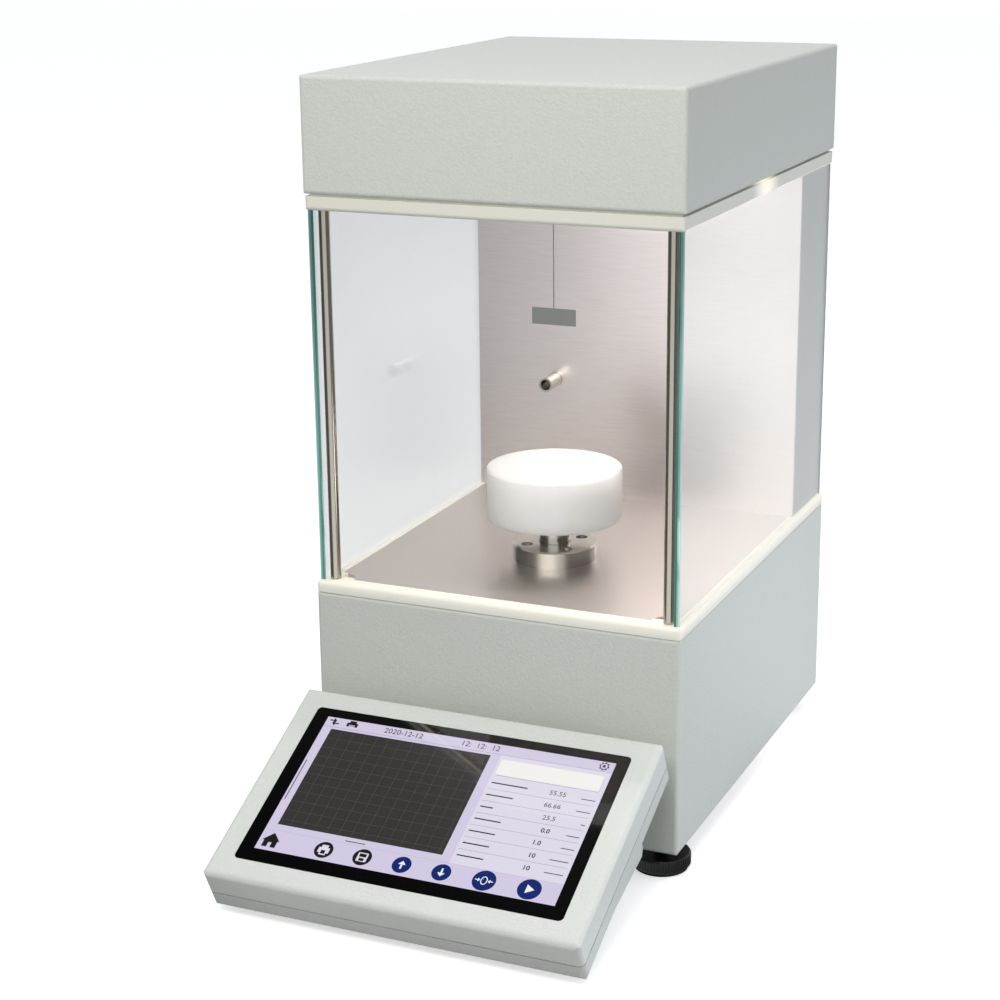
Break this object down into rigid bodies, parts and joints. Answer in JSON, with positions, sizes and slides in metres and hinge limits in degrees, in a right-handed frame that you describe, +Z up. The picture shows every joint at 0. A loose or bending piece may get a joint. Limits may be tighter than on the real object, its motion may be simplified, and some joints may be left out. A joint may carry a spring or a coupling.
{
  "type": "surface tensiometer",
  "caption": "Bench surface tensiometer: glazed open-front weighing chamber, motor-lifted sample table, hanging plate, levelling feet and a sloping touch-screen console.",
  "frame": {"origin": "on the bench, at the middle of the whole outline seen from above", "axes": "+X to the instrument's right as its user sees it, -Y out of its front towards the user, +Z up"},
  "size_m": [0.2002, 0.3798, 0.385],
  "materials": {
    "housing_paint": "satin powder coat, light grey-green",
    "console_paint": "satin powder coat, near white",
    "ivory_plastic": "translucent ivory, lit from inside",
    "brushed_steel": "brushed stainless steel",
    "turned_steel": "turned and polished stainless steel",
    "pane_glass": "clear float glass with green edges",
    "screen_glass": "black printed border on glossy glass",
    "screen_lit": "lit display",
    "white_table": "satin white engineering plastic",
    "aluminium": "machined",
    "bronze": "machined",
    "circuit_board": "solder mask",
    "black_metal": "black oxide and lacquer",
    "black_plastic": "moulded",
    "rubber": "matt",
    "blasted_platinum": "sandblasted"
  },
  "bodies": {
    "body": {"base_shell": "housing_paint", "bottom_plate": "brushed_steel", "base_trim": "ivory_plastic", "chamber_floor": "brushed_steel", "back_plate": "brushed_steel", "column": "housing_paint", "rear_cover": "housing_paint", "head_shell": "housing_paint", "head_plate": "brushed_steel", "head_trim": "ivory_plastic", "ceiling_plate": "brushed_steel", "lamp_diffuser": "ivory_plastic", "lamp_board": "circuit_board", "front_posts": "turned_steel", "glass_left": "pane_glass", "glass_right": "pane_glass", "probe_sleeve": "turned_steel", "probe_nut": "turned_steel", "lift_flange": "turned_steel", "flange_screws": "turned_steel", "lift_bush": "bronze", "guide_rods": "turned_steel", "lift_plate": "aluminium", "lift_spacers": "turned_steel", "lift_motor": "black_metal", "load_cell": "aluminium", "cell_block": "brushed_steel", "cell_board": "circuit_board", "balance_hook": "turned_steel", "console_front": "console_paint", "console_back": "housing_paint", "touch_glass": "screen_glass", "display_panel": "screen_lit", "console_board": "circuit_board", "console_bracket": "housing_paint", "console_neck": "housing_paint", "bracket_screws": "turned_steel", "main_board": "circuit_board", "power_supply": "aluminium", "power_inlet": "black_plastic", "switch_frame": "black_plastic", "data_port": "turned_steel", "foot_nuts": "turned_steel", "rear_screws": "turned_steel"},
    "stage": {"lift_shaft": "turned_steel", "sample_table": "white_table", "lift_carriage": "aluminium", "lift_nut": "bronze"},
    "lead_screw": {"lead_screw": "turned_steel"},
    "weighing_plate": {"plate_hanger": "blasted_platinum", "weighing_plate": "blasted_platinum"},
    "switch_rocker": {"switch_rocker": "black_plastic"},
    "foot_pad_fl": {"foot_pad_fl": "rubber"},
    "foot_knob_fl": {"foot_knob_fl": "black_metal"},
    "foot_pad_fr": {"foot_pad_fr": "rubber"},
    "foot_knob_fr": {"foot_knob_fr": "black_metal"},
    "foot_pad_bl": {"foot_pad_bl": "rubber"},
    "foot_knob_bl": {"foot_knob_bl": "black_metal"},
    "foot_pad_br": {"foot_pad_br": "rubber"},
    "foot_knob_br": {"foot_knob_br": "black_metal"}
  },
  "joints": [
    {"name": "lead_screw_spin", "type": "hinge", "parent": "body", "child": "lead_screw", "pos_m": [0, 0.01619, 0.08], "axis": [0, 0, 1], "range_deg": [-7200, 2160]},
    {"name": "stage_lift", "type": "slide", "parent": "body", "child": "stage", "axis": [0, 0, 1], "range_m": [-0.012, 0.04]},
    {"name": "plate_swing", "type": "hinge", "parent": "body", "child": "weighing_plate", "pos_m": [0, 0.01619, 0.311], "axis": [0, 1, 0], "range_deg": [-20, 20]},
    {"name": "switch_rock", "type": "hinge", "parent": "body", "child": "switch_rocker", "pos_m": [0.038, 0.18239, 0.0465], "axis": [1, 0, 0], "range_deg": [-20, 0]},
    {"name": "foot_lift_fl", "type": "slide", "parent": "body", "child": "foot_pad_fl", "axis": [0, 0, 1], "range_m": [-0.006, 0.0035]},
    {"name": "foot_turn_fl", "type": "hinge", "parent": "foot_pad_fl", "child": "foot_knob_fl", "pos_m": [-0.0852, -0.05231, 0.005], "axis": [0, 0, 1], "range_deg": [-1728, 1008]},
    {"name": "foot_lift_fr", "type": "slide", "parent": "body", "child": "foot_pad_fr", "axis": [0, 0, 1], "range_m": [-0.006, 0.0035]},
    {"name": "foot_turn_fr", "type": "hinge", "parent": "foot_pad_fr", "child": "foot_knob_fr", "pos_m": [0.0852, -0.05231, 0.005], "axis": [0, 0, 1], "range_deg": [-1728, 1008]},
    {"name": "foot_lift_bl", "type": "slide", "parent": "body", "child": "foot_pad_bl", "axis": [0, 0, 1], "range_m": [-0.006, 0.0035]},
    {"name": "foot_turn_bl", "type": "hinge", "parent": "foot_pad_bl", "child": "foot_knob_bl", "pos_m": [-0.074, 0.17209, 0.005], "axis": [0, 0, 1], "range_deg": [-1728, 1008]},
    {"name": "foot_lift_br", "type": "slide", "parent": "body", "child": "foot_pad_br", "axis": [0, 0, 1], "range_m": [-0.006, 0.0035]},
    {"name": "foot_turn_br", "type": "hinge", "parent": "foot_pad_br", "child": "foot_knob_br", "pos_m": [0.074, 0.17209, 0.005], "axis": [0, 0, 1], "range_deg": [-1728, 1008]}
  ],
  "couplings": [
    {"joint": "lead_screw_spin", "follows": "stage_lift", "rad_per_m": -3141.5},
    {"joint": "foot_turn_fl", "follows": "foot_lift_fl", "rad_per_m": 5026.5},
    {"joint": "foot_turn_fr", "follows": "foot_lift_fr", "rad_per_m": 5026.5},
    {"joint": "foot_turn_bl", "follows": "foot_lift_bl", "rad_per_m": 5026.5},
    {"joint": "foot_turn_br", "follows": "foot_lift_br", "rad_per_m": 5026.5}
  ]
}
